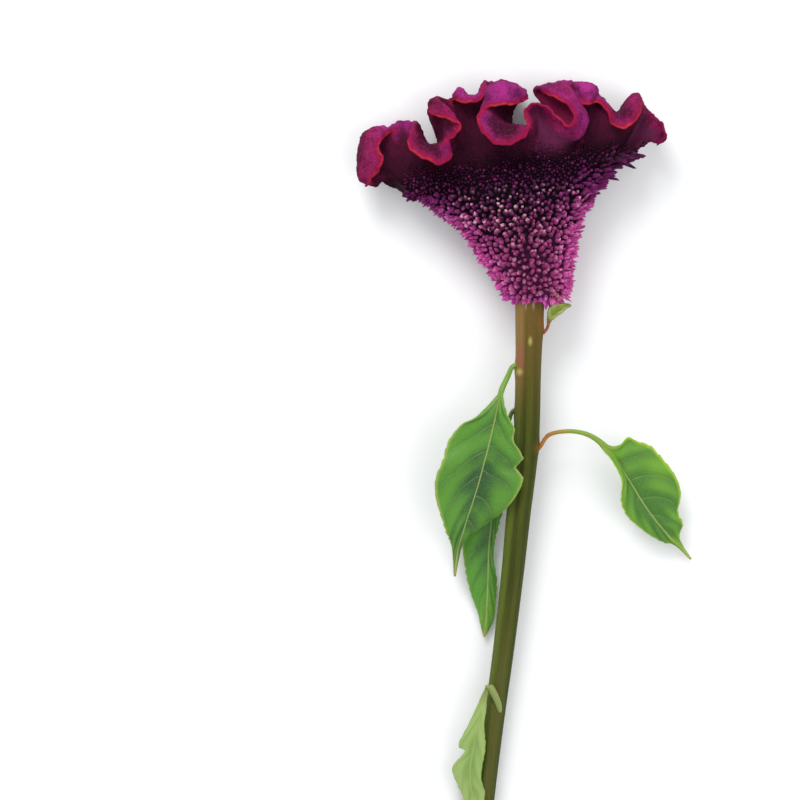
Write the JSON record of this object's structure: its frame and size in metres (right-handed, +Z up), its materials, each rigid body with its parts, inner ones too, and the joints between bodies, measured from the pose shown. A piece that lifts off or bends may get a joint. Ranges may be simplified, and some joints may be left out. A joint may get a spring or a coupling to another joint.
{
  "type": "cut cockscomb celosia flower",
  "caption": "Cut cockscomb flower lying flat: ribbed stem, leaves on stalks, and a fan-shaped bloom of pointed florets under a folded velvet comb.",
  "frame": {"origin": "centre of the flower's box, on the surface that it lies on", "axes": "+Y from the cut end of the stem to the comb, +Z up from the surface, +X to the right seen from above with the comb away from the viewer"},
  "size_m": [0.1262, 0.2946, 0.0342],
  "materials": {
    "stem": "satin, ribbed green stem",
    "florets": "matte, papery florets",
    "comb": "velvety",
    "leaf": "soft satin leaf"
  },
  "bodies": {
    "root": {"stem": "stem", "florets": "florets", "comb": "comb", "leaf_front": "leaf", "leaf_right": "leaf", "leaf_behind": "leaf", "leaf_low": "leaf", "leaf_small": "leaf"}
  },
  "joints": []
}
